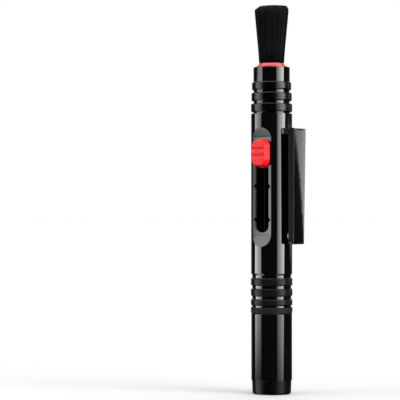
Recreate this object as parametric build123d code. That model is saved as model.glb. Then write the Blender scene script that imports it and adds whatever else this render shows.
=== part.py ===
"""Lens cleaning pen with a retracting brush, a pocket clip and a pull-off cap over a carbon tip.

All lengths are in millimetres. The pen stands upright on its cap: the origin is on the pen's axis
at the cap's flat end, +Z runs up to the brush, the thumb slider faces -Y and the clip is at +X.
"""
from build123d import *
from math import sqrt
import os

# ---- fits
seat_gap = 0.02            # pieces that are pressed or glued together
running_gap = 0.10         # radial play of the pieces that slide or turn in one another
cut_margin = 1.00          # how far a cutting shape runs past what it cuts
seam_gap = 0.10            # line between the cap and the tip holder's flange

# ---- barrel and cap sections
barrel_r = 7.40
barrel_wall = 1.80
nose_wall = 0.95
upper_core_wall = 0.88     # wall between the upper grip rings
lower_groove_depth = 0.38  # barrel's step down between the lower grip rings
ring_proud = 0.05          # lower rings and the flange stand out this far
cap_step = 0.07            # cap's step in from the barrel
cap_wall = 1.03
end_plug_top_step = 0.26   # end plug's step in from the cap
end_plug_base_step = 0.44

# ---- heights, from the bottom up
end_plug_height = 4.80
cap_length = 24.00
flange_height = 2.10
lower_first_gap = 0.60
lower_ring_heights = [2.35, 2.80, 2.80]
lower_gap = 0.98
body_length = 57.90        # plain glossy stretch of the barrel
upper_first_gap = 0.42
upper_ring_heights = [3.14, 3.06, 2.96]
upper_gap = 0.86
nose_height = 5.30

# ---- grip rings
upper_ring_steps = [0.00, 0.14, 0.34]    # each ring's step in from the barrel
lower_seat_depth = 0.42    # how far the rings sink below the barrel's core
upper_seat_depth = 0.10
ring_edge_radius = 0.45

# ---- thumb slider, its slot and the finger recess
slider_drop = 14.30        # slider's centre below the top of the plain stretch, brush out
stop_pitch = 11.90
stop_count = 3
slot_width = 5.25
slot_rim_radius = 0.28
stem_centres = 3.65        # distance between the centres of the stem's round ends
notch_depth = 0.80
notch_tip_radius = 0.30
recess_edge_margin = 0.125 # floor left outside the notches' rounded rims
recess_dish_radius = 80.0
recess_top_runout = 3.90
recess_bottom_runout = 4.50
recess_margin = 0.20       # flat floor left beyond the slider at each end of its travel
slider_gap = 0.15          # slider's base above the middle of the floor
slider_height = 2.66
slider_length = 9.90
slider_overhang = 0.775    # slider's base beyond the slot on each side
slider_base_corner = 2.60
slider_draft = (0.80, 0.50)               # front face's step in at the sides and the ends
slider_front_corner = 2.00
slider_edge_radius = 0.40
slider_groove_offsets = [1.20, -1.15]
slider_groove_radius = 1.00
slider_groove_depth = 0.50
stem_side_gap = 0.15

# ---- detent spring round the slider's neck
spring_thickness = 0.30
spring_width = 0.55
spring_carrier_gap = 0.06
spring_neck_gap = 0.10
spring_base_gap = 0.06     # least gap between the spring and the slider's base
spring_slot_gap = 0.20
spring_leg = 2.35          # leg below the bump's peak
spring_bump_run = 0.05     # bump's foot beyond the notch's corner
spring_tip_gap = 0.15

# ---- brush
carrier_wall = 1.30
carrier_tail = 5.10        # carrier below the slider's centre
ferrule_gap = 0.18         # between the ferrule and the barrel's bore
ferrule_wall = 1.00
ferrule_skirt = 0.70       # wall round the carrier's spigot
ferrule_lip = 1.30         # ferrule above the nose
ferrule_cone = (0.95, 0.75)               # height and depth of the lip's sloping edge
ferrule_depth = 5.00       # ferrule below the nose
spigot_length = 3.00
spigot_wall = 1.10
root_plug_height = 1.40
tuft_flare = 1.80          # how much wider the tip is than the root
tuft_length = 20.70        # hair above the ferrule
tuft_bevel = (1.20, 1.40)  # width and height of the worn edge at the tip

# ---- pocket clip
clip_drop = 5.50           # clip's top below the top of the plain stretch
clip_length = 41.30
clip_standoff = 4.88       # outer face from the barrel, at the top
clip_lean = 0.50           # how much nearer the axis its lower end is
clip_width = 7.90          # outer face, at the top
clip_width_taper = 0.80    # how much narrower its lower end is
clip_side_draft = 0.052    # growth of half the width towards the barrel, for each unit of depth
clip_bridge = 2.00
clip_bridge_half = 3.55
clip_depth_top = 2.62
clip_depth_bottom = 2.30
clip_crown = 0.28          # rise of the outer face across its width
clip_corner_radius = 0.90
clip_inner_radius = 0.60
clip_tip_radius = 0.50
clip_side_radius = 0.12
clip_step_depth = 0.20     # step between the arm's sides and the narrower bridge
clip_top_bevel = 0.30
clip_foot_width = 5.00
clip_foot_depth = 1.00
clip_play = 0.14
clip_channel_depth = 1.15
clip_channel_rim = 1.15
clip_channel_ends = (5.50, 3.50)          # solid stretch at the lower and the upper end
clip_nub_radius = 1.20
clip_nub_width = 3.60
clip_nub_rise = 3.00       # nub's centre above the clip's lower end
clip_nub_gap = 0.30

# ---- tip holder and the cap's friction ring
holder_plug_length = 10.00
holder_plug_wall = 1.98
holder_spigot_length = 8.80
friction_ring_height = 1.60
friction_ring_depth = 0.60
friction_ring_drop = 3.10  # groove's upper edge below the flange

# ---- cleaning tip under the cap
neck_r = 2.20
neck_waist_r = 1.65
neck_socket = 4.00
cup_gap = 1.20             # between the cup and the cap's bore
cup_boss_r = 3.20
cup_boss_height = 2.00
cup_plate = 1.00
cup_skirt = 1.10
cup_rim = 0.50
cushion_height = 1.80
pad_step = 0.20            # pad's step in from the cup
pad_edge_height = 1.30
tip_hollow = 0.50          # how far the pad's face is dished

# ---- cap's end plug and carbon sponge
end_plug_edge_radius = 0.70
end_plug_spigot = 4.20
end_plug_floor = 3.00
end_plug_wall = 0.98
sponge_height = 4.84
sponge_gap = 0.30          # between the sponge and the pad
edge_break = 0.20
lower_edge_break = (0.33, 0.60)           # depth and height of the sloping edge above the lower rings

# ---- radii worked out from the sizes above
barrel_bore_r = barrel_r - barrel_wall
nose_r = barrel_bore_r + nose_wall
upper_core_r = barrel_bore_r + upper_core_wall
lower_core_r = barrel_r - lower_groove_depth
flange_r = barrel_r + ring_proud
cap_r = barrel_r - cap_step
cap_bore_r = cap_r - cap_wall
recess_half_width = slot_width / 2 + notch_depth + slot_rim_radius + recess_edge_margin
recess_dish = recess_dish_radius - sqrt(recess_dish_radius ** 2 - recess_half_width ** 2)
flat_distance = sqrt(barrel_r ** 2 - recess_half_width ** 2) - recess_dish
clip_reach = barrel_r + clip_standoff
carrier_r = barrel_bore_r - running_gap
ferrule_r = barrel_bore_r - ferrule_gap
spigot_r = ferrule_r - ferrule_skirt - seat_gap
tuft_base_r = ferrule_r - ferrule_wall - seat_gap
holder_spigot_r = cap_bore_r - running_gap
cup_r = cap_bore_r - cup_gap
pad_r = cup_r - pad_step
sponge_r = cap_bore_r - end_plug_wall - 2 * seat_gap

# ---- heights worked out from the sizes above
z_cap = end_plug_height
z_flange = z_cap + cap_length + seam_gap
z_barrel = z_flange + flange_height
z_body = z_barrel + lower_first_gap + sum(lower_ring_heights) + lower_gap * len(lower_ring_heights)
z_body_top = z_body + body_length
z_nose = (
    z_body_top + upper_first_gap + sum(upper_ring_heights) + upper_gap * (len(upper_ring_heights) - 1)
)
z_mouth = z_nose + nose_height
z_slider = z_body_top - slider_drop
travel = stop_pitch * (stop_count - 1)
z_clip_top = z_body_top - clip_drop
z_clip_bottom = z_clip_top - clip_length
z_ferrule = z_mouth - ferrule_depth
z_hair = z_mouth + ferrule_lip
z_sponge_top = end_plug_floor + seat_gap + sponge_height
z_pad_edge = z_sponge_top + sponge_gap - tip_hollow
z_cushion = z_pad_edge + pad_edge_height + seat_gap
z_cup_plate = z_cushion + cushion_height + seat_gap
z_cup_top = z_cup_plate + cup_plate + cup_boss_height
z_spigot = z_flange - holder_spigot_length

slot_end_centre = stem_centres / 2
spring_bump_half = notch_depth + spring_bump_run
neck_half_width = slot_width / 2 - spring_slot_gap - spring_thickness - spring_neck_gap
spring_inner = carrier_r + spring_carrier_gap
slider_base = max(flat_distance + slider_gap, spring_inner + spring_width + spring_base_gap)
slider_front = slider_base + slider_height
upright = (Align.CENTER, Align.CENTER, Align.MIN)


def rod(radius, low, high):
    """Round bar on the pen's axis between two heights."""
    return Pos(0, 0, low) * Cylinder(radius, high - low, align=upright)


def tube(outer, inner, low, high):
    """Round tube on the pen's axis between two heights."""
    return rod(outer, low, high) - rod(inner, low, high)


def block(x_range, y_range, z_range):
    """Box given by its lowest and highest coordinate along each axis."""
    size = [high - low for low, high in (x_range, y_range, z_range)]
    middle = [(low + high) / 2 for low, high in (x_range, y_range, z_range)]
    return Pos(*middle) * Box(*size)


def turned(points):
    """Solid turned about the pen's axis from (radius, height) points."""
    outline = Polyline(*points, close=True)
    return revolve(Plane.XZ * make_face(outline.edges()), Axis.Z)


def dome(radius, centre_height):
    """Large ball whose top, at the given height on the axis, is the cleaning tip's curve."""
    ball_r = (pad_r ** 2 + tip_hollow ** 2) / (2 * tip_hollow)
    return Pos(0, 0, centre_height - ball_r) * Sphere(ball_r) & rod(radius, 0, centre_height + cut_margin)


def outer_circles(solid):
    """The circular edges of the largest radius."""
    return solid.edges().filter_by(GeomType.CIRCLE).group_by(SortBy.RADIUS)[-1]


def facing_slider(distance, height):
    """Plane square to -Y at a distance from the axis; its local Y runs up the pen."""
    return Plane(origin=(0, -distance, height), x_dir=(1, 0, 0), z_dir=(0, -1, 0))


def stacked(first, heights, gap):
    """(low, high) of pieces stacked from a first height with equal gaps."""
    spans = []
    low = first
    for height in heights:
        spans.append((low, low + height))
        low = low + height + gap
    return spans


lower_spans = stacked(z_barrel + lower_first_gap, lower_ring_heights, lower_gap)
upper_spans = stacked(z_body_top + upper_first_gap, upper_ring_heights, upper_gap)


# ---- barrel and grip rings
def make_slot():
    """Slot through the barrel's wall with a V notch on each side at every stop."""
    upper_end = z_slider + slot_end_centre
    lower_end = z_slider - travel - slot_end_centre
    middle = (upper_end + lower_end) / 2
    opening = SlotCenterToCenter(upper_end - lower_end, slot_width, rotation=90)
    notch_side = (slot_width / 2 + notch_depth) * sqrt(2)
    for stop in range(stop_count):
        stop_height = z_slider - stop * stop_pitch - middle
        opening += Pos(0, stop_height) * RectangleRounded(
            notch_side, notch_side, notch_tip_radius, rotation=45
        )
    return extrude(facing_slider(0, middle) * opening, barrel_r + cut_margin)


def dish_profile(distance):
    """Face between a line through the origin and a shallow arc at a distance from it."""
    side = barrel_r + 1
    rise = recess_dish_radius - sqrt(recess_dish_radius ** 2 - side ** 2)
    line = Polyline((side, distance - rise), (side, 0), (-side, 0), (-side, distance - rise))
    arc = ThreePointArc((-side, distance - rise), (0, distance), (side, distance - rise))
    return make_face([*line.edges(), arc])


def make_recess():
    """Cutter for the finger recess: a floor dished across, whose ends run out along an arc."""
    depth = barrel_r - flat_distance
    flat_top = z_slider + slider_length / 2 + recess_margin
    flat_bottom = z_slider - travel - slider_length / 2 - recess_margin
    far = 2 * barrel_r
    cutter = extrude(Pos(0, -far, flat_bottom) * dish_profile(far - flat_distance), flat_top - flat_bottom)
    for end, runout, way in ((flat_top, recess_top_runout, 1), (flat_bottom, recess_bottom_runout, -1)):
        arc_r = (runout ** 2 + depth ** 2) / (2 * depth)
        wheel = Pos(0, -flat_distance - arc_r, end) * revolve(dish_profile(arc_r), Axis.X)
        reach = sorted((end, end + way * (runout + cut_margin)))
        cutter += wheel & block((-far, far), (-far, 0), reach)
    return cutter


def slot_rim(body):
    """Edges where the slot meets the recess's dished floor."""
    reach = recess_half_width - recess_edge_margin
    rim = []
    for edge in body.edges():
        box = edge.bounding_box()
        within = -reach < box.min.X and box.max.X < reach
        if within and -flat_distance - recess_dish < box.min.Y and box.max.Y < -flat_distance + seat_gap:
            rim.append(edge)
    return rim


def make_barrel():
    body = rod(lower_core_r, z_barrel, z_body)
    edge_depth, edge_height = lower_edge_break
    body += turned([
        (0, z_body),
        (barrel_r - edge_depth, z_body),
        (barrel_r, z_body + edge_height),
        (barrel_r, z_body_top - edge_break),
        (barrel_r - edge_break, z_body_top),
        (0, z_body_top),
    ])
    body += rod(upper_core_r, z_body_top, z_nose)
    nose = rod(nose_r, z_nose, z_mouth)
    body += fillet(nose.edges().filter_by(GeomType.CIRCLE).sort_by(Axis.Z)[-1], edge_break)
    for low, high in lower_spans:
        floor_r = lower_core_r - lower_seat_depth
        body -= tube(barrel_r + cut_margin, floor_r, low - seat_gap, high + seat_gap)
    for low, high in upper_spans:
        floor_r = upper_core_r - upper_seat_depth
        body -= tube(barrel_r + cut_margin, floor_r, low - seat_gap, min(high + seat_gap, z_nose))
    body -= rod(barrel_bore_r, z_barrel - cut_margin, z_mouth + cut_margin)
    body -= make_recess()
    body -= make_slot()
    body = fillet(slot_rim(body), slot_rim_radius)
    body -= block(
        (barrel_r - clip_foot_depth, barrel_r + cut_margin),
        (-clip_foot_width / 2 - clip_play, clip_foot_width / 2 + clip_play),
        (z_clip_top - clip_bridge - clip_play, z_clip_top + clip_play),
    )
    return body


def make_grip_ring(outer, inner, low, high):
    """Rubber ring with rounded outer edges."""
    ring = tube(outer, inner, low, high)
    return fillet(outer_circles(ring), ring_edge_radius)


# ---- pocket clip
def clip_inner_x(height):
    """Inner face of the clip's arm from the axis, at a height."""
    share = (z_clip_top - height) / clip_length
    depth = clip_depth_top + (clip_depth_bottom - clip_depth_top) * share
    return clip_reach - clip_lean * share - depth


def clip_outline():
    """Side view of the bridge and the arm, with its corners rounded."""
    shoulder = z_clip_top - clip_bridge
    outline = make_face(
        Polyline(
            (0, z_clip_top),
            (clip_reach, z_clip_top),
            (clip_reach - clip_lean, z_clip_bottom),
            (clip_inner_x(z_clip_bottom), z_clip_bottom),
            (clip_inner_x(shoulder), shoulder),
            (0, shoulder),
            close=True,
        ).edges()
    )
    outline = fillet(outline.vertices().group_by(Axis.Y)[0], clip_tip_radius)
    inner_corner = outline.vertices().sort_by_distance((clip_inner_x(shoulder), shoulder))[0]
    outline = fillet(inner_corner, clip_inner_radius)
    top_corner = outline.vertices().sort_by_distance((clip_reach, z_clip_top))[0]
    return fillet(top_corner, clip_corner_radius)


def clip_section(height):
    """Arm's section at a height: crowned outer face, and sides that widen towards the barrel."""
    share = (z_clip_top - height) / clip_length
    half = (clip_width - clip_width_taper * share) / 2
    face_x = clip_reach - clip_lean * share
    side_x = face_x - clip_crown
    root = half + clip_side_draft * side_x
    outline = make_face(
        [
            *Polyline((side_x, -half), (0, -root), (0, root), (side_x, half)).edges(),
            ThreePointArc((side_x, half), (face_x, 0), (side_x, -half)),
        ]
    )
    return Pos(0, 0, height) * fillet(outline.vertices().group_by(Axis.X)[-1], clip_side_radius)


def clip_front(top_half, bottom_half):
    """Prism along X over the clip's front view: bevelled upper corners and rounded lower ones."""
    outline = make_face(
        Polyline(
            (-bottom_half, z_clip_bottom),
            (bottom_half, z_clip_bottom),
            (top_half, z_clip_top - clip_top_bevel),
            (top_half - clip_top_bevel, z_clip_top),
            (-top_half + clip_top_bevel, z_clip_top),
            (-top_half, z_clip_top - clip_top_bevel),
            close=True,
        ).edges()
    )
    outline = fillet(outline.vertices().group_by(Axis.Y)[0], clip_corner_radius)
    side_view = Plane(origin=(0, 0, 0), x_dir=(0, 1, 0), z_dir=(1, 0, 0))
    return extrude(side_view * outline, clip_reach + cut_margin)


def make_clip():
    half = clip_width / 2
    growth = clip_side_draft * clip_depth_top
    side = half + 2 * cut_margin
    blank = extrude(Plane.XZ * clip_outline(), side, both=True)
    step_x = clip_inner_x(z_clip_top) - clip_step_depth
    heights = (z_clip_bottom - cut_margin, z_clip_top + cut_margin)

    # arm: its sides narrow towards the lower end
    arm = blank & loft([clip_section(z_clip_bottom), clip_section(z_clip_top)])
    arm &= clip_front(half + growth, half - clip_width_taper / 2 + growth)
    arm -= block((-cut_margin, step_x), (-side, side), heights)

    # bridge: a little narrower than the arm, clear of the barrel
    flare = clip_side_draft * step_x
    plan = make_face(
        Polyline(
            (step_x, -clip_bridge_half),
            (step_x, clip_bridge_half),
            (0, clip_bridge_half + flare),
            (0, -clip_bridge_half - flare),
            close=True,
        ).edges()
    )
    bridge = blank & extrude(Pos(0, 0, heights[0]) * plan, heights[1] - heights[0])
    bridge_front = clip_bridge_half + clip_side_draft * (step_x - barrel_r)
    clip = arm + (bridge & clip_front(bridge_front, bridge_front))
    clip -= rod(barrel_r + clip_play, *heights)

    # hollow between the arm's two side walls, open towards the barrel
    low = z_clip_bottom + clip_channel_ends[0]
    high = z_clip_top - clip_bridge - clip_channel_ends[1]
    channel = make_face(
        Polyline(
            (clip_inner_x(low) - cut_margin, low),
            (clip_inner_x(low) + clip_channel_depth, low),
            (clip_inner_x(high) + clip_channel_depth, high),
            (clip_inner_x(high) - cut_margin, high),
            close=True,
        ).edges()
    )
    clip -= extrude(Plane.XZ * channel, half - clip_channel_rim, both=True)

    # nub that grips the cloth
    nub_height = z_clip_bottom + clip_nub_rise
    nub_centre = barrel_r + clip_nub_gap + clip_nub_radius
    nub_bar = Pos(nub_centre, 0, nub_height) * Rot(90, 0, 0) * Cylinder(clip_nub_radius, clip_nub_width)
    clip += nub_bar + block(
        (nub_centre, clip_inner_x(nub_height) + clip_depth_bottom / 2),
        (-clip_nub_width / 2, clip_nub_width / 2),
        (nub_height - clip_nub_radius, nub_height + clip_nub_radius),
    )

    # foot in the barrel's pocket
    clip += block(
        (barrel_r - clip_foot_depth + clip_play, clip_reach - clip_depth_top),
        (-clip_foot_width / 2, clip_foot_width / 2),
        (z_clip_top - clip_bridge, z_clip_top),
    )
    return clip


# ---- brush and slider
def make_stem(floor, half_width, top):
    """Prism with round ends, from a floor distance from the axis out to a top distance."""
    shape = SlotCenterToCenter(stem_centres, 2 * half_width, rotation=90)
    return extrude(facing_slider(floor, z_slider) * shape, top - floor)


def make_thumb_slider():
    width = slot_width + 2 * slider_overhang
    side_draft, end_draft = slider_draft
    base = RectangleRounded(width, slider_length, slider_base_corner)
    front = RectangleRounded(width - 2 * side_draft, slider_length - 2 * end_draft, slider_front_corner)
    button = loft([facing_slider(slider_base, z_slider) * base, facing_slider(slider_front, z_slider) * front])
    button = fillet(button.faces().sort_by(Axis.Y)[0].edges(), slider_edge_radius)
    for offset in slider_groove_offsets:
        cutter_distance = slider_front - slider_groove_depth + slider_groove_radius
        cutter = Rot(0, 90, 0) * Cylinder(slider_groove_radius, 2 * width)
        button -= Pos(0, -cutter_distance, z_slider + offset) * cutter

    # stem down to the carrier's wall
    button += make_stem(carrier_r - carrier_wall + running_gap, neck_half_width, slider_base)

    # guide land at the stem's lower end, which fills the slot's width
    land = make_stem(spring_inner, slot_width / 2 - stem_side_gap, slider_base)
    land_top = z_slider - spring_leg - spring_slot_gap
    land &= block((-width, width), (-slider_front, 0), (z_slider - slider_length, land_top))
    return button + land


def make_detent_spring():
    """Hairpin strip round the slider's neck, with a bump on each leg that rests in the notches."""
    leg_x = neck_half_width + spring_neck_gap + spring_thickness / 2
    peak_x = slot_width / 2 + notch_depth - spring_tip_gap - spring_thickness
    right = Polyline(
        (leg_x, -spring_leg),
        (leg_x, -spring_bump_half),
        (peak_x, 0),
        (leg_x, spring_bump_half),
        (leg_x, slot_end_centre),
    )
    arch = ThreePointArc(
        (leg_x, slot_end_centre), (0, slot_end_centre + leg_x), (-leg_x, slot_end_centre)
    )
    left = mirror(right, Plane.YZ)
    strip = trace(right.edges() + arch.edges() + left.edges(), spring_thickness)
    return extrude(facing_slider(spring_inner, z_slider) * strip, spring_width)


def make_brush_carrier():
    low = z_slider - carrier_tail
    carrier = tube(carrier_r, carrier_r - carrier_wall, low, z_ferrule)
    carrier += tube(spigot_r, spigot_r - spigot_wall, z_ferrule, z_ferrule + spigot_length)
    web = rod(carrier_r - carrier_wall / 2, z_ferrule - carrier_wall, z_ferrule)
    carrier += web - rod(spigot_r - spigot_wall, z_ferrule - carrier_wall, z_ferrule)
    return carrier - make_stem(0, neck_half_width + running_gap, carrier_r + cut_margin)


def make_ferrule():
    cone_height, cone_depth = ferrule_cone
    ferrule = turned([
        (0, z_ferrule + seat_gap),
        (ferrule_r, z_ferrule + seat_gap),
        (ferrule_r, z_hair - cone_height),
        (ferrule_r - cone_depth, z_hair),
        (0, z_hair),
    ])
    seat = z_ferrule + spigot_length + seat_gap
    ferrule -= rod(spigot_r + seat_gap, z_ferrule, seat)
    ferrule -= rod(tuft_base_r + seat_gap, seat, z_hair)
    return ferrule


def root_plug_span():
    low = z_ferrule + spigot_length + 2 * seat_gap
    return low, low + root_plug_height


def make_root_plug():
    return rod(tuft_base_r, *root_plug_span())


def make_bristles():
    """Tuft of hair as one closed solid: straight flare and a flat top with a worn edge."""
    low = root_plug_span()[1] + seat_gap
    tip = z_hair + tuft_length
    width, height = tuft_bevel
    return turned(
        [
            (0, low),
            (tuft_base_r, low),
            (tuft_base_r, z_hair),
            (tuft_base_r + tuft_flare, tip - height),
            (tuft_base_r + tuft_flare - width, tip),
            (0, tip),
        ]
    )


# ---- tip holder and friction ring
def friction_ring_span():
    high = z_flange - friction_ring_drop
    return high - friction_ring_height, high


def make_tip_holder():
    flange = rod(flange_r, z_flange, z_barrel)
    holder = fillet(outer_circles(flange), edge_break)
    plug_r = barrel_bore_r - seat_gap
    plug = rod(plug_r, z_barrel, z_barrel + holder_plug_length)
    holder += chamfer(plug.edges().filter_by(GeomType.CIRCLE).sort_by(Axis.Z)[-1], edge_break)
    holder -= rod(plug_r - holder_plug_wall, z_barrel, z_barrel + holder_plug_length)
    spigot = rod(holder_spigot_r, z_spigot, z_flange)
    holder += chamfer(spigot.edges().filter_by(GeomType.CIRCLE).sort_by(Axis.Z)[0], edge_break)
    ring_low, ring_high = friction_ring_span()
    groove_r = holder_spigot_r - friction_ring_depth
    holder -= tube(cap_r, groove_r, ring_low - running_gap, ring_high + running_gap)
    return holder - rod(neck_r + seat_gap, z_spigot - cut_margin, z_spigot + neck_socket + seat_gap)


def make_friction_ring():
    ring_low, ring_high = friction_ring_span()
    inner = holder_spigot_r - friction_ring_depth + running_gap / 2
    ring = tube(cap_bore_r - running_gap / 2, inner, ring_low, ring_high)
    return fillet(outer_circles(ring), friction_ring_depth / 3)


# ---- cleaning tip
def make_tip_neck():
    """Soft stem with a waist, held in the tip holder's socket and the cup's boss."""
    low = z_cup_top - cup_boss_height + seat_gap
    high = z_spigot + neck_socket
    quarter = (z_spigot - z_cup_top) / 4
    return turned(
        [
            (0, low),
            (neck_r, low),
            (neck_r, z_cup_top),
            (neck_waist_r, z_cup_top + quarter),
            (neck_waist_r, z_spigot - quarter),
            (neck_r, z_spigot),
            (neck_r, high),
            (0, high),
        ]
    )


def make_tip_cup():
    plate_top = z_cup_plate + cup_plate
    cup = rod(cup_r, z_cup_plate - cup_skirt, plate_top)
    cup = fillet(cup.edges().filter_by(GeomType.CIRCLE).sort_by(Axis.Z)[-1], edge_break)
    cup += rod(cup_boss_r, plate_top, z_cup_top)
    cup -= rod(neck_r + seat_gap, z_cup_top - cup_boss_height, z_cup_top)
    cup -= rod(cup_r - cup_rim, z_cup_plate - cup_skirt, z_cup_plate)
    return cup


def make_tip_cushion():
    return rod(cup_r - cup_rim - seat_gap, z_cushion, z_cushion + cushion_height)


def make_carbon_pad():
    """Disc whose lower face is dished to lie on a lens."""
    disc = rod(pad_r, z_pad_edge, z_pad_edge + pad_edge_height)
    return disc - dome(pad_r + cut_margin, z_pad_edge + tip_hollow)


# ---- cap
def make_cap_shell():
    shell = rod(cap_r, z_cap + seat_gap, z_cap + cap_length)
    shell = fillet(outer_circles(shell), edge_break)
    return shell - rod(cap_bore_r, z_cap, z_cap + cap_length)


def make_cap_end_plug():
    base = turned([(0, 0), (cap_r - end_plug_base_step, 0), (cap_r - end_plug_top_step, z_cap), (0, z_cap)])
    rims = base.edges().filter_by(GeomType.CIRCLE).sort_by(Axis.Z)
    base = fillet(rims[0], end_plug_edge_radius)
    plug = base + rod(cap_bore_r - seat_gap, z_cap, z_cap + end_plug_spigot)
    return plug - rod(sponge_r + seat_gap, end_plug_floor, z_cap + end_plug_spigot)


def make_carbon_sponge():
    """Carbon-loaded disc in the end plug's cup, domed to match the pad."""
    return rod(sponge_r, end_plug_floor + seat_gap, z_sponge_top) & dome(sponge_r, z_sponge_top)


def make_parts():
    """Every node of the pen by name."""
    parts = {
        "barrel": make_barrel(),
        "pocket_clip": make_clip(),
        "thumb_slider": make_thumb_slider(),
        "detent_spring": make_detent_spring(),
        "brush_carrier": make_brush_carrier(),
        "brush_ferrule": make_ferrule(),
        "bristle_root_plug": make_root_plug(),
        "brush_bristles": make_bristles(),
        "tip_holder": make_tip_holder(),
        "cap_friction_ring": make_friction_ring(),
        "tip_neck": make_tip_neck(),
        "tip_cup": make_tip_cup(),
        "tip_cushion": make_tip_cushion(),
        "carbon_pad": make_carbon_pad(),
        "cap_shell": make_cap_shell(),
        "cap_end_plug": make_cap_end_plug(),
        "carbon_sponge": make_carbon_sponge(),
    }
    lower_seat_r = lower_core_r - lower_seat_depth + seat_gap
    for number, (low, high) in enumerate(lower_spans, start=1):
        parts[f"lower_grip_ring_{number}"] = make_grip_ring(flange_r, lower_seat_r, low, high)
    upper_seat_r = upper_core_r - upper_seat_depth + seat_gap
    for number, (low, high) in enumerate(upper_spans, start=1):
        outer = barrel_r - upper_ring_steps[number - 1]
        parts[f"upper_grip_ring_{number}"] = make_grip_ring(outer, upper_seat_r, low, high)
    return parts


os.makedirs("parts", exist_ok=True)
for name, shape in make_parts().items():
    export_step(shape, f"parts/{name}.step")
print(f"slider height {z_slider:.2f}, travel {travel:.2f}, mouth {z_mouth:.2f}, tip {z_hair + tuft_length:.2f}")
print(f"cap top {z_cap + cap_length:.2f}, clip {z_clip_bottom:.2f} to {z_clip_top:.2f}")
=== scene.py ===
"""Looks of the lens cleaning pen: finishes, a brush of separate hairs, the soft tip and the studio."""
import math
import random

import bpy
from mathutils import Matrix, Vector


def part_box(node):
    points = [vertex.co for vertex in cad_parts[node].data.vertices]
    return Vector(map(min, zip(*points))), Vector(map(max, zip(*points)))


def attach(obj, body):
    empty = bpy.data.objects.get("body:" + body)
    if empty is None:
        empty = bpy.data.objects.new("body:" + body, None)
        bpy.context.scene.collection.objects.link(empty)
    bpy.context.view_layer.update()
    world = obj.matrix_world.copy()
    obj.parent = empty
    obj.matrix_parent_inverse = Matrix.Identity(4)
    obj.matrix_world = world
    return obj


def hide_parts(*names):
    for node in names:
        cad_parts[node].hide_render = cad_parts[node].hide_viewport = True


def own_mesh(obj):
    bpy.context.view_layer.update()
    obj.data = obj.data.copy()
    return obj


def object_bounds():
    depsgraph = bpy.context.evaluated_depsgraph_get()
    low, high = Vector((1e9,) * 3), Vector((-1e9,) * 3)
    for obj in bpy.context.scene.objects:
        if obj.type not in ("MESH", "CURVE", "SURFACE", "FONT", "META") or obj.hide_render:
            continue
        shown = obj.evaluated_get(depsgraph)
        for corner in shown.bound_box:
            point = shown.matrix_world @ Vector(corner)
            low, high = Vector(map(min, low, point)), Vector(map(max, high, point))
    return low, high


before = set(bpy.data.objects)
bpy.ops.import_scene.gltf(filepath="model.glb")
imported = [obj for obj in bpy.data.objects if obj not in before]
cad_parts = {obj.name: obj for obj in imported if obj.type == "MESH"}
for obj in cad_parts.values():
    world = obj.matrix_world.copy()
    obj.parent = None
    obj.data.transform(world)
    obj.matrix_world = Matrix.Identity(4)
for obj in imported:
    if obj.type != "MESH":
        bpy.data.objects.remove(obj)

cad_low, cad_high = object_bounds()

MM = 0.001
hairs = random.Random(7)

# ---- camera, in metres and degrees
camera_turn = 33.0         # how far round to the clip's side the camera stands
camera_distance = 0.630
camera_height = 0.0640
camera_pitch = 0.49
camera_yaw = 2.34          # the pen stands right of the middle of the picture
camera_lens = 157.8
sensor_width = 36.0

# ---- studio lights: direction round the pen from the camera's side, and rise above level, in degrees
left_box = (-106.0, -61.5)
right_box = (31.5, 76.8)
box_fade = (44.0, 60.0)    # rise over which both boxes fade out at the top
overhead_edge = (44.0, 54.0)
overhead_level = 4.5
room_level = 0.012         # what little light comes from everywhere

# ---- floor
floor_size = 60.0
floor_grey = 0.31
floor_glow = 0.06

# ---- brush
hair_count = 1700
sector_count = 8
hair_sides = 5
hair_levels = (0.30, 0.58, 0.82, 1.0)
hair_taper = (0.98, 0.92, 0.80, 0.50)    # a hair's width at each level, as a share of its root's
hair_width = 0.115 * MM
width_spread = (0.8, 1.15)               # thinnest and thickest hair, as shares of hair_width
hair_wander = 0.018        # how far hairs stray round the tuft, in radians
hair_sway = 0.05 * MM      # how far they bow between their ends
tip_unevenness = 0.10 * MM
tip_clearance = 0.01 * MM
root_clearance = 0.3 * MM
outer_share = 0.62         # share of the hairs that stand in the tuft's outer layer
outer_layer = 0.62         # where that layer starts, as a share of the tuft's section
inner_start = 0.45         # where the inner hairs start, as a share of the free length
flare_setback = 1.04 * MM  # how far the tuft's root stands in from the ferrule's rim
worn_width = (0.7 * MM, 1.8 * MM)        # worn edge of the tip: narrow side, wide side
worn_height = 1.45 * MM
core_sides = 40
core_share = 0.80          # core's radius, as a share of the tuft's
core_drop = 1.5 * MM       # how far its top stands below the tips
core_edge = 0.5 * MM

# ---- cleaning tip
pad_sides = 96
pad_rings = 12
pad_rim = 0.06             # rounding of the pad's edges, as a share of its radius
pad_rim_steps = 5
pad_hollow = 0.45 * MM     # how far the middle of its face stands in from the rim
cushion_waist = 0.05       # how far the foam pulls in, as a share of its radius
cushion_cuts = (0.2, 0.5, 0.8)           # where it is shaped, as shares of the height that shows

smooth_angle = math.radians(40)          # edges flatter than this are shaded smooth


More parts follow.
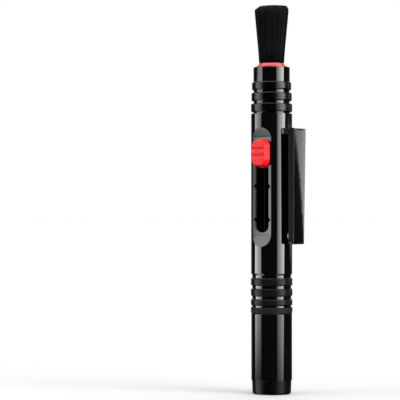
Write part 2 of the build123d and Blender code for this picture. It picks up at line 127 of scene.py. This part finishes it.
# ================================================================ node trees
class Signal:
    """A number that varies over a surface or the sky. Arithmetic on it adds Math nodes."""

    def __init__(self, tree, socket):
        self.tree = tree
        self.socket = socket

    def math(self, operation, *values):
        return self.tree.add("ShaderNodeMath", {"operation": operation}, dict(enumerate(values)))

    def __add__(self, other):
        return self.math("ADD", self, other)

    def __radd__(self, other):
        return self.math("ADD", other, self)

    def __sub__(self, other):
        return self.math("SUBTRACT", self, other)

    def __rsub__(self, other):
        return self.math("SUBTRACT", other, self)

    def __mul__(self, other):
        return self.math("MULTIPLY", self, other)

    def __rmul__(self, other):
        return self.math("MULTIPLY", other, self)

    def smooth(self, low, high):
        """0 below low, 1 above high, and an even turn between them."""
        settings = {"interpolation_type": "SMOOTHSTEP"}
        sockets = {"Value": self, "From Min": low, "From Max": high}
        return self.tree.add("ShaderNodeMapRange", settings, sockets)

    def within(self, low, high, edge):
        """1 between low and high, falling to 0 over an edge outside them."""
        return self.smooth(low - edge, low) * (1 - self.smooth(high, high + edge))


class Tree:
    """A node tree with one way to add a node."""

    def __init__(self, tree):
        self.tree = tree
        tree.nodes.clear()

    def feed(self, socket, value):
        if isinstance(value, Signal):
            self.tree.links.new(value.socket, socket)
        else:
            socket.default_value = value

    def add(self, kind, settings=None, sockets=None, output=0):
        """Adds a node, sets it up, then sets or links its sockets; returns the chosen output."""
        node = self.tree.nodes.new(kind)
        for name, value in (settings or {}).items():
            if name == "stops":
                set_stops(node.color_ramp, value)
            else:
                setattr(node, name, value)
        for key, value in (sockets or {}).items():
            self.feed(node.inputs[key], value)
        return Signal(self, node.outputs[output]) if len(node.outputs) else node


def set_stops(ramp, stops):
    """Gives a colour ramp its (position, colour) stops."""
    while len(ramp.elements) > 1:
        ramp.elements.remove(ramp.elements[-1])
    ramp.elements[0].position = stops[0][0]
    ramp.elements[0].color = stops[0][1]
    for position, colour in stops[1:]:
        ramp.elements.new(position).color = colour


class Finish(Tree):
    """A material with one Principled shader, fed by patterns on the piece's own coordinates."""

    def __init__(self, name, **constants):
        self.material = bpy.data.materials.new(name)
        self.material.use_nodes = True
        super().__init__(self.material.node_tree)
        self.surface = self.tree.nodes.new("ShaderNodeBsdfPrincipled")
        output = self.tree.nodes.new("ShaderNodeOutputMaterial")
        self.tree.links.new(self.surface.outputs[0], output.inputs["Surface"])
        for socket, value in constants.items():
            self.surface.inputs[socket.replace("_", " ")].default_value = value
        self.place = self.add("ShaderNodeTexCoord", output="Object")

    def noise(self, size, detail=3.0, roughness=0.5, stretch=(1, 1, 1)):
        """Cloudy pattern with features of a real size, in metres; stretch lengthens them along an axis."""
        scale = tuple(1 / (size * length) for length in stretch)
        place = self.add("ShaderNodeMapping", {}, {"Vector": self.place, "Scale": scale})
        sockets = {"Vector": place, "Scale": 1.0, "Detail": detail, "Roughness": roughness}
        return self.add("ShaderNodeTexNoise", {}, sockets)

    def grains(self, size):
        """Distance from the nearest of many scattered points, for grainy surfaces."""
        place = self.add("ShaderNodeMapping", {}, {"Vector": self.place, "Scale": (1 / size,) * 3})
        sockets = {"Vector": place, "Scale": 1.0, "Randomness": 1.0}
        return self.add("ShaderNodeTexVoronoi", {}, sockets)

    def colour(self, share, first, second):
        """Base colour that moves from the first colour to the second with share."""
        stops = [(0.0, (*first, 1)), (1.0, (*second, 1))]
        ramp = self.add("ShaderNodeValToRGB", {"stops": stops}, {"Fac": share})
        self.feed(self.surface.inputs["Base Color"], ramp)

    def roughness(self, value):
        self.feed(self.surface.inputs["Roughness"], value)

    def bump(self, height, depth):
        """Relief of a real depth, in metres, where height is 1."""
        sockets = {"Height": height, "Distance": depth, "Strength": 1.0}
        self.feed(self.surface.inputs["Normal"], self.add("ShaderNodeBump", {}, sockets))


# ================================================================ studio
def make_camera():
    """Camera at the height of the pen's middle, turned a little aside so the pen stands off centre."""
    turn = math.radians(camera_turn)
    place = Vector((math.sin(turn), -math.cos(turn), 0)) * camera_distance
    place.z = camera_height
    camera = bpy.data.objects.new("camera", bpy.data.cameras.new("camera"))
    bpy.context.scene.collection.objects.link(camera)
    camera.data.lens = camera_lens
    camera.data.sensor_width = sensor_width
    camera.data.clip_start = 0.01
    camera.data.clip_end = 100.0
    heading = turn + math.radians(camera_yaw)
    camera.location = place
    camera.rotation_euler = (math.radians(90 + camera_pitch), 0, heading)
    bpy.context.scene.camera = camera


def left_light(round_pen, rise):
    """Tall soft box, stronger outwards; high up only its inner side shines, and low down it is faint."""
    low, high = left_box
    inner_level = 4.6
    outer_gain = 5.7
    foot_glow = 0.42           # its level lowest down
    dark_band = 0.07           # its level in the band above that
    upper_loss = 0.35
    corner_gain = 0.6          # of its inner side, high up
    corner_falloff = 1.55
    share = (high - round_pen) * (1 / (high - low))
    across = round_pen.smooth(low - 1.5, low) * (1 - round_pen.smooth(high - 3.0, high + 3.0))
    foot = foot_glow - (foot_glow - dark_band) * rise.smooth(-9.0, -6.0)
    below = foot + (1 - dark_band) * rise.smooth(-5.8, -2.9)
    above = (1 - upper_loss * rise.smooth(-1.2, 3.1)) * (1 - rise.smooth(*box_fade))
    corner = 1 + rise.smooth(3.4, 4.6) * (corner_gain - corner_falloff * share)
    return across * (inner_level + outer_gain * share) * below * above * corner


def right_light(round_pen, rise):
    """Tall soft box, much stronger outwards, whose outer edge leans outwards with height; faint low down."""
    low, high = right_box
    inner_level = 2.4
    outer_gain = 11.6
    lean = 1.2                 # degrees outwards for each degree of rise
    foot_level = 0.10
    share = (round_pen - low) * (1 / (high - low))
    leaning = round_pen - lean * rise.within(-6.0, 6.0, 4.0) * rise
    across = round_pen.smooth(low - 1.2, low) * (1 - leaning.smooth(high - 1.2, high))
    below = foot_level + (1 - foot_level) * rise.smooth(-6.6, -3.2)
    upright = below * (1 - rise.smooth(*box_fade))
    return across * (inner_level + outer_gain * share) * upright


def rear_light(round_pen, rise):
    """Pale backdrop, brighter high up, and a low slanting panel at the clip's side."""
    low_level = 0.35
    high_gain = 1.5
    panel_slant = 9.6          # degrees round the pen for each degree of rise
    panel_level = 2.4
    behind = round_pen.math("ABSOLUTE", round_pen).smooth(138.0, 156.0) * rise.smooth(-25.0, -15.0)
    backdrop = behind * (low_level + high_gain * rise.smooth(8.0, 18.0)) * (1 - rise.smooth(36.0, 48.0))
    slanting = (round_pen + panel_slant * rise).smooth(117.2, 120.2)
    across = slanting * round_pen.within(102.0, 131.0, 3.0)
    panel = across * rise.within(-1.6, 2.6, 0.2)
    return backdrop + panel_level * panel


def make_sky():
    """Dark room with two tall soft boxes, a light overhead and a backdrop; the camera sees plain white."""
    world = bpy.data.worlds.new("studio")
    bpy.context.scene.world = world
    world.use_nodes = True
    world.cycles.sampling_method = "MANUAL"
    world.cycles.sample_map_resolution = 2048
    sky = Tree(world.node_tree)
    degrees = 180 / math.pi
    turn = math.radians(camera_turn)
    place = sky.add("ShaderNodeTexCoord", output="Generated")
    split = {"Vector": place}
    x = sky.add("ShaderNodeSeparateXYZ", {}, split, output="X")
    y = sky.add("ShaderNodeSeparateXYZ", {}, split, output="Y")
    z = sky.add("ShaderNodeSeparateXYZ", {}, split, output="Z")
    rightward = x * math.cos(turn) + y * math.sin(turn)
    forward = x * math.sin(turn) - y * math.cos(turn)
    round_pen = x.math("ARCTAN2", rightward, forward) * degrees
    rise = x.math("ARCSINE", z) * degrees

    level = left_light(round_pen, rise) + right_light(round_pen, rise) + rear_light(round_pen, rise)
    level = level + overhead_level * rise.smooth(*overhead_edge) + room_level

    seen = sky.add("ShaderNodeLightPath", output="Is Camera Ray")
    light = sky.add("ShaderNodeBackground", {}, {"Color": (1, 1, 1, 1), "Strength": level})
    white = sky.add("ShaderNodeBackground", {}, {"Color": (1, 1, 1, 1), "Strength": 1.0})
    both = sky.add("ShaderNodeMixShader", {}, {0: seen, 1: light, 2: white})
    sky.add("ShaderNodeOutputWorld", {}, {"Surface": both})


def make_floor():
    """Plain pale floor that runs out to the horizon, and stays out of the pen's reflections."""
    bpy.ops.mesh.primitive_plane_add(size=floor_size, location=(0, 0, cad_low.z))
    floor = bpy.context.object
    floor.name = "floor"
    floor.visible_glossy = False
    finish = Finish(
        "pale_floor", Roughness=0.9, Specular_IOR_Level=0.1,
        Base_Color=(floor_grey, floor_grey, floor_grey, 1),
        Emission_Color=(1, 1, 1, 1), Emission_Strength=floor_glow,
    )
    floor.data.materials.append(finish.material)


# ================================================================ finishes
def polished_black(name, level, specular=0.5):
    """Glossy moulded plastic: faint flow marks, fine handling scratches and a trace of orange peel."""
    finish = Finish(name, IOR=1.5, Specular_IOR_Level=specular)
    cloud = finish.noise(6 * MM, detail=2.0)
    finish.colour(cloud, (level * 0.8,) * 3, (level * 1.25, level * 1.25, level * 1.3))
    scratches = finish.noise(0.12 * MM, detail=4.0, roughness=0.6, stretch=(1, 1, 18))
    finish.roughness(0.045 + 0.03 * cloud + 0.05 * scratches.smooth(0.62, 0.75))
    finish.bump(finish.noise(1.6 * MM, detail=1.0), depth=0.0012 * MM)
    return finish.material


def satin_black(name, level, roughness, specular=0.5):
    """Spark-eroded plastic with an even fine grain."""
    finish = Finish(name, IOR=1.5, Specular_IOR_Level=specular)
    cloud = finish.noise(4 * MM, detail=2.0)
    grain = finish.noise(0.16 * MM, detail=2.0)
    finish.colour(cloud, (level * 0.85,) * 3, (level * 1.2, level * 1.2, level * 1.25))
    finish.roughness(roughness - 0.05 + 0.10 * cloud)
    finish.bump(grain, depth=0.006 * MM)
    return finish.material


def speckled_rubber(name, level, roughness, specular, relief):
    """Matt rubber with pale mineral specks and a crinkled skin."""
    finish = Finish(name, IOR=1.5, Specular_IOR_Level=specular)
    grains = finish.grains(0.42 * MM)
    crinkle = finish.noise(0.45 * MM, detail=3.0, roughness=0.6)
    specks = (1 - grains.smooth(0.18, 0.42)) * crinkle.smooth(0.45, 0.6)
    finish.colour(specks, (level,) * 3, (level * 3.0, level * 3.0, level * 3.2))
    finish.roughness(roughness + 0.12 * crinkle)
    finish.bump(crinkle + 0.4 * grains, depth=relief)
    return finish.material


def red_plastic(name, dark, light, roughness, specular):
    """Semi-gloss red, a little cloudy in tone, with fine moulding marks."""
    finish = Finish(name, IOR=1.5, Specular_IOR_Level=specular)
    cloud = finish.noise(2.2 * MM, detail=2.0)
    finish.colour(cloud, dark, light)
    finish.roughness(roughness + 0.10 * cloud)
    finish.bump(finish.noise(0.5 * MM, detail=2.0), depth=0.003 * MM)
    return finish.material


def black_hair():
    """Soft hair: each one has its own depth of black."""
    finish = Finish("black_hair", IOR=1.5, Specular_IOR_Level=0.05)
    shade = finish.add("ShaderNodeAttribute", {"attribute_name": "shade"}, output="Fac")
    fleck = finish.noise(0.3 * MM, detail=2.0, stretch=(1, 1, 12))
    share = shade * 0.75 + fleck * 0.25
    finish.colour(share, (0.0005, 0.0005, 0.0006), (0.009, 0.009, 0.010))
    finish.roughness(0.42 + 0.2 * fleck)
    return finish.material


def spring_steel():
    """Bright rolled strip, with fine drawn lines across it."""
    finish = Finish("spring_steel", Metallic=1.0)
    grain = finish.noise(0.08 * MM, detail=3.0, stretch=(1, 12, 1))
    finish.colour(grain, (0.42, 0.42, 0.43), (0.60, 0.60, 0.61))
    finish.roughness(0.22 + 0.18 * grain)
    finish.bump(grain, depth=0.001 * MM)
    return finish.material


def amber_resin():
    """Poured resin with an uneven surface."""
    finish = Finish("amber_resin", IOR=1.55)
    cloud = finish.noise(1.2 * MM, detail=3.0)
    finish.colour(cloud, (0.20, 0.08, 0.015), (0.42, 0.20, 0.05))
    finish.roughness(0.18 + 0.2 * cloud)
    finish.bump(cloud, depth=0.05 * MM)
    return finish.material


def foam(name, dark, light, cell):
    """Open foam or felt: small pits all over, with painted shade darkening the colour into each pit."""
    finish = Finish(name, IOR=1.4, Specular_IOR_Level=0.2)
    pits = finish.grains(cell)
    # the colour darkens towards each pit's middle: painted shade in the pits
    finish.colour(pits, dark, light)
    finish.roughness(0.85 + 0.1 * pits)
    finish.bump(pits, depth=cell * 0.5)
    return finish.material


def carbon_chamois():
    """Fine suede loaded with carbon powder, a little shiny where it has polished."""
    finish = Finish("carbon_chamois", IOR=1.45, Specular_IOR_Level=0.3)
    nap = finish.noise(0.18 * MM, detail=4.0, roughness=0.65)
    polish = finish.noise(2.5 * MM, detail=2.0)
    finish.colour(nap, (0.008, 0.008, 0.009), (0.035, 0.034, 0.034))
    finish.roughness(0.55 + 0.35 * polish)
    finish.bump(nap, depth=0.03 * MM)
    return finish.material


def finish_nodes():
    """Gives every node of the frame its finish, and returns them by node."""
    slider_red = red_plastic(
        "slider_red", dark=(0.58, 0.007, 0.011), light=(0.70, 0.011, 0.016), roughness=0.20, specular=0.17,
    )
    ferrule_red = red_plastic(
        "ferrule_red", dark=(0.46, 0.018, 0.022), light=(0.56, 0.025, 0.030), roughness=0.14, specular=0.28,
    )
    # painted light: both ring sets are one rubber, and the lower rings get a lighter base than the upper
    # rings to stand in for how the light falls on them
    upper_rubber = speckled_rubber(
        "upper_grip_rubber", level=0.0005, roughness=0.15, specular=0.235, relief=0.035 * MM,
    )
    lower_rubber = speckled_rubber(
        "lower_grip_rubber", level=0.0044, roughness=0.16, specular=0.10, relief=0.030 * MM,
    )
    friction_rubber = speckled_rubber(
        "friction_rubber", level=0.02, roughness=0.5, specular=0.5, relief=0.006 * MM,
    )
    neck_rubber = speckled_rubber(
        "soft_neck_rubber", level=0.03, roughness=0.55, specular=0.5, relief=0.006 * MM,
    )
    cushion_foam = foam(
        "cushion_foam", dark=(0.02, 0.02, 0.022), light=(0.09, 0.09, 0.095), cell=0.35 * MM,
    )
    carbon_foam = foam(
        "carbon_foam", dark=(0.004, 0.004, 0.004), light=(0.03, 0.03, 0.03), cell=0.5 * MM,
    )
    finishes = {
        "barrel": polished_black("polished_barrel", level=0.0016),
        "pocket_clip": polished_black("polished_clip", level=0.0018),
        "cap_shell": polished_black("polished_cap", level=0.0016, specular=0.27),
        "cap_end_plug": satin_black("satin_end_plug", level=0.0010, roughness=0.30, specular=0.14),
        "tip_holder": satin_black("satin_holder", level=0.0065, roughness=0.60, specular=0.12),
        "thumb_slider": slider_red,
        "brush_carrier": slider_red,
        "brush_ferrule": ferrule_red,
        "detent_spring": spring_steel(),
        "bristle_root_plug": amber_resin(),
        "brush_bristles": black_hair(),
        "cap_friction_ring": friction_rubber,
        "tip_neck": neck_rubber,
        "tip_cup": satin_black("cup_plastic", level=0.02, roughness=0.45),
        "tip_cushion": cushion_foam,
        "carbon_pad": carbon_chamois(),
        "carbon_sponge": carbon_foam,
    }
    for number in (1, 2, 3):
        finishes[f"upper_grip_ring_{number}"] = upper_rubber
        finishes[f"lower_grip_ring_{number}"] = lower_rubber
    for name, material in finishes.items():
        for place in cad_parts[name].material_slots:
            place.material = material
    return finishes


# ================================================================ brush
hair_low, hair_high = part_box("brush_bristles")
ferrule_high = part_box("brush_ferrule")[1]
tip_radius = hair_high.x
root_height = hair_low.z + root_clearance
mouth_height = ferrule_high.z
flare_start_radius = ferrule_high.x - flare_setback      # tuft's radius where it leaves the ferrule


def model_hair():
    """One hair, a unit high and of unit radius at its root, extruded level by level."""
    bpy.ops.mesh.primitive_circle_add(vertices=hair_sides, radius=1.0, fill_type="NGON")
    hair = bpy.context.object
    bpy.ops.object.mode_set(mode="EDIT")
    bpy.ops.mesh.select_all(action="SELECT")
    below = 0.0
    width = 1.0
    for level, taper in zip(hair_levels, hair_taper):
        step = (0, 0, level - below)
        bpy.ops.mesh.extrude_region_move(TRANSFORM_OT_translate={"value": step})
        share = taper / width
        bpy.ops.transform.resize(value=(share, share, 1))
        below, width = level, taper
    bpy.ops.mesh.select_all(action="SELECT")
    bpy.ops.mesh.normals_make_consistent(inside=False)
    bpy.ops.object.mode_set(mode="OBJECT")
    hair.data.shade_smooth()
    return hair


def tip_ceiling(radius, bearing):
    """Height of the tuft's top at a radius, lower over its worn edge, which is wider on one side."""
    turn = math.radians(camera_turn)
    leftness = 0.5 - 0.5 * math.cos(bearing - turn)
    width = worn_width[0] + (worn_width[1] - worn_width[0]) * leftness
    over = max(0.0, radius - (tip_radius - width)) / width
    return hair_high.z - worn_height * over


def place_hair(hair, share, bearing, outer):
    """A copy of the hair, its own mesh bent to run to its place in the tip, a share of the radius out.
    Outer hairs start in the ferrule, and inner ones part of the way up, inside the core."""
    copy = hair.copy()
    copy.data = hair.data.copy()
    width = hair_width * hairs.uniform(*width_spread)
    reach = (tip_radius - width) * share
    root = (flare_start_radius - width) * share
    wander = hairs.gauss(0, hair_wander)
    sway = hairs.gauss(0, hair_sway)
    top = tip_ceiling(reach, bearing) - abs(hairs.gauss(0, tip_unevenness)) - tip_clearance
    low = root_height if outer else mouth_height + (hair_high.z - mouth_height) * inner_start
    shade = hairs.random() ** 2
    tone = copy.data.attributes.new("shade", "FLOAT", "POINT")
    for vertex in copy.data.vertices:
        along = vertex.co.z
        height = low + (top - low) * along
        flare = max(0.0, (height - mouth_height) / (hair_high.z - worn_height - mouth_height))
        radius = min(root + (reach - root) * flare, tip_radius - width)
        angle = bearing + wander * along
        bow = sway * math.sin(math.pi * along)
        x = radius * math.cos(angle) - bow * math.sin(angle)
        y = radius * math.sin(angle) + bow * math.cos(angle)
        vertex.co = (x + vertex.co.x * width, y + vertex.co.y * width, height)
        tone.data[vertex.index].value = shade
    bpy.context.scene.collection.objects.link(copy)
    return copy


def join(pieces, name):
    """Joins pieces into one object."""
    bpy.ops.object.select_all(action="DESELECT")
    for piece in pieces:
        piece.select_set(True)
    bpy.context.view_layer.objects.active = pieces[0]
    bpy.ops.object.join()
    joined = bpy.context.object
    joined.name = name
    return joined


def make_core():
    """Solid heart of the tuft, just inside the outer hairs, with softened edges."""
    height = hair_high.z - root_height - core_drop
    bpy.ops.mesh.primitive_cone_add(
        vertices=core_sides, radius1=flare_start_radius * core_share, radius2=tip_radius * core_share,
        depth=height, location=(0, 0, root_height + height / 2),
    )
    core = bpy.context.object
    core.name = "tuft_core"
    bpy.ops.object.transform_apply(location=True, rotation=True, scale=True)
    bpy.ops.object.mode_set(mode="EDIT")
    bpy.ops.mesh.select_all(action="SELECT")
    bpy.ops.mesh.bevel(offset=core_edge, segments=2, affect="EDGES")
    bpy.ops.object.mode_set(mode="OBJECT")
    bpy.ops.object.shade_smooth_by_angle(angle=smooth_angle)
    return core


def make_brush(material):
    """Tuft of hairs in sectors, each joined into one piece, round a solid core, all carried by the brush."""
    bpy.ops.object.select_all(action="DESELECT")
    hair = model_hair()
    sectors = [[] for _ in range(sector_count)]
    golden = math.pi * (3 - math.sqrt(5))
    for number in range(hair_count):
        bearing = number * golden % (2 * math.pi)
        outer = hairs.random() < outer_share
        inner_edge, outer_edge = (outer_layer, 1.0) if outer else (0.0, outer_layer)
        share = math.sqrt(hairs.uniform(inner_edge, outer_edge))
        sector = int(bearing / (2 * math.pi) * sector_count) % sector_count
        sectors[sector].append(place_hair(hair, share, bearing, outer))
    bpy.data.objects.remove(hair)
    core = make_core()
    core.data.materials.append(material)
    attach(core, "brush")
    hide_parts("brush_bristles")
    for number, members in enumerate(sectors):
        tuft = join(members, f"tuft_{number + 1}")
        tuft.data.materials.clear()
        tuft.data.materials.append(material)
        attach(tuft, "brush")
        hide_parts("brush_bristles")
        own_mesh(tuft)


# ================================================================ cleaning tip
def add_disc(name, low, high, sides):
    """Round disc that fills the space between two corners, its place in its mesh, left in edit mode."""
    bpy.ops.object.select_all(action="DESELECT")
    centre = (low + high) / 2
    bpy.ops.mesh.primitive_cylinder_add(
        vertices=sides, radius=(high.x - low.x) / 2, depth=high.z - low.z, location=centre,
    )
    disc = bpy.context.object
    disc.name = name
    bpy.ops.object.transform_apply(location=True, rotation=True, scale=True)
    bpy.ops.object.mode_set(mode="EDIT")
    return disc


def select_faces(piece, wanted):
    """Selects the faces that the test wants, in edit mode."""
    bpy.ops.mesh.select_mode(type="FACE")
    bpy.ops.mesh.select_all(action="DESELECT")
    bpy.ops.object.mode_set(mode="OBJECT")
    for face in piece.data.polygons:
        face.select = wanted(face)
    bpy.ops.object.mode_set(mode="EDIT")


def finish_tip_piece(piece, material, node):
    """Leaves edit mode, shades the piece smooth, hands it its finish and its body, and hides the node that
    it stands for.
    """
    bpy.ops.object.mode_set(mode="OBJECT")
    bpy.ops.object.shade_smooth_by_angle(angle=smooth_angle)
    piece.data.materials.append(material)
    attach(piece, "barrel")
    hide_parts(node)


def dish_depth(share):
    """How deep the pad's face is hollowed, at a share of the way from its rim to its middle."""
    return pad_hollow * (1 - (1 - share) ** 2)


def make_pad(material):
    """Suede-covered pad with rounded edges, its lower face dished ring by ring to lie on a lens."""
    low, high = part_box("carbon_pad")
    pad = add_disc("pad", low, high, pad_sides)
    radius = (high.x - low.x) / 2
    rim = pad_rim * radius
    select_faces(pad, lambda face: abs(face.normal.z) > 0.9)
    bpy.ops.mesh.region_to_loop()
    bpy.ops.mesh.bevel(offset=rim, segments=pad_rim_steps, affect="EDGES")
    select_faces(pad, lambda face: face.normal.z < -0.99)
    step = 1 / (pad_rings + 1)
    for ring in range(1, pad_rings + 1):
        bpy.ops.mesh.inset(thickness=(radius - rim) * step, depth=0)
        deeper = dish_depth(ring * step) - dish_depth((ring - 1) * step)
        bpy.ops.transform.translate(value=(0, 0, deeper))
    finish_tip_piece(pad, material, "carbon_pad")


def make_cushion(material):
    """Foam disc between the cup and the pad, pulled in round its middle where it stands clear of the cup."""
    low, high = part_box("tip_cushion")
    cushion = add_disc("cushion", low, high, pad_sides)
    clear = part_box("tip_cup")[0].z - low.z
    for share in cushion_cuts:
        centre = (0, 0, low.z + clear * share)
        bpy.ops.mesh.select_all(action="SELECT")
        bpy.ops.mesh.bisect(plane_co=centre, plane_no=(0, 0, 1))
        pull = 1 - cushion_waist * math.sin(math.pi * share)
        bpy.ops.transform.resize(value=(pull, pull, 1), center_override=centre)
    finish_tip_piece(cushion, material, "tip_cushion")


# ================================================================ scene
bpy.context.scene.view_settings.view_transform = "Standard"
make_camera()
make_sky()
make_floor()
finishes = finish_nodes()
make_brush(finishes["brush_bristles"])
make_pad(finishes["carbon_pad"])
make_cushion(finishes["tip_cushion"])
